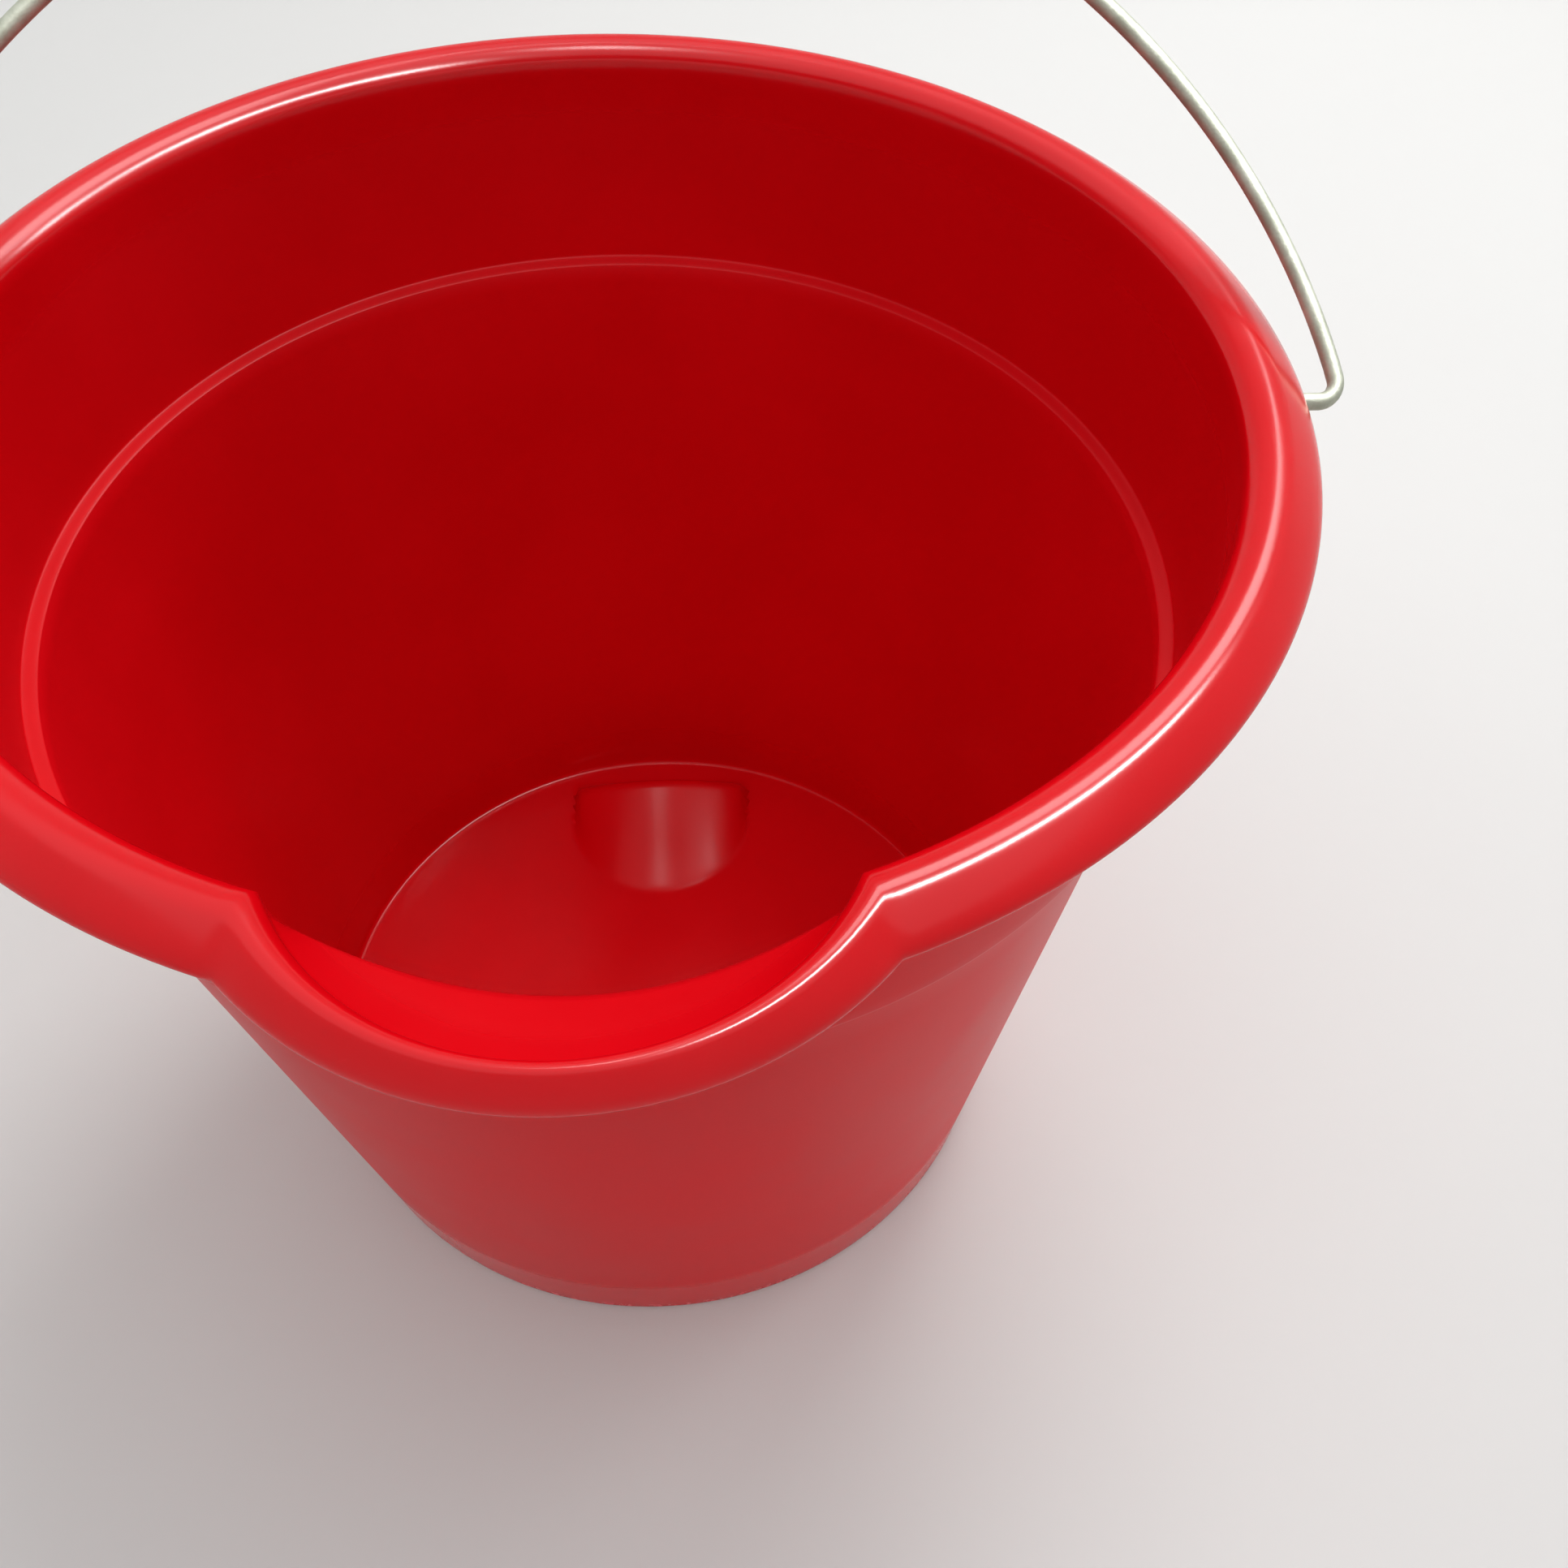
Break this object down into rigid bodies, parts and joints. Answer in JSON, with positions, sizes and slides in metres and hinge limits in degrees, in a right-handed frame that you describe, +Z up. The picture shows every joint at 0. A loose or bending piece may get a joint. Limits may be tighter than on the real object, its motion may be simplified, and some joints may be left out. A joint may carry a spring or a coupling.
{
  "type": "wash bucket",
  "caption": "Round tapered wash bucket with a rolled rim, a pouring lip, a tipping recess in the base and a wire bail with a turning hand grip.",
  "frame": {"origin": "on the surface the bucket stands on, midway between the pouring lip and the rim opposite it, 7.425 mm in front of the pail's own axis", "axes": "+Z up, the pouring lip points to -Y, the bail's pivot axis runs along X"},
  "size_m": [0.3202, 0.3148, 0.312],
  "materials": {
    "red_plastic": "satin",
    "zinc_wire": "dull zinc plate",
    "grip_plastic": "matte"
  },
  "bodies": {
    "bucket": {"bucket_body": "red_plastic"},
    "bail": {"bail_wire": "zinc_wire"},
    "grip": {"hand_grip": "grip_plastic"}
  },
  "joints": [
    {"name": "bail_swing", "type": "hinge", "parent": "bucket", "child": "bail", "pos_m": [0, 0.00743, 0.2361], "axis": [1, 0, 0], "range_deg": [-14, 124]},
    {"name": "grip_spin", "type": "hinge", "parent": "bail", "child": "grip", "pos_m": [0, 0.10026, 0.30111], "axis": [1, 0, 0], "continuous": true}
  ]
}
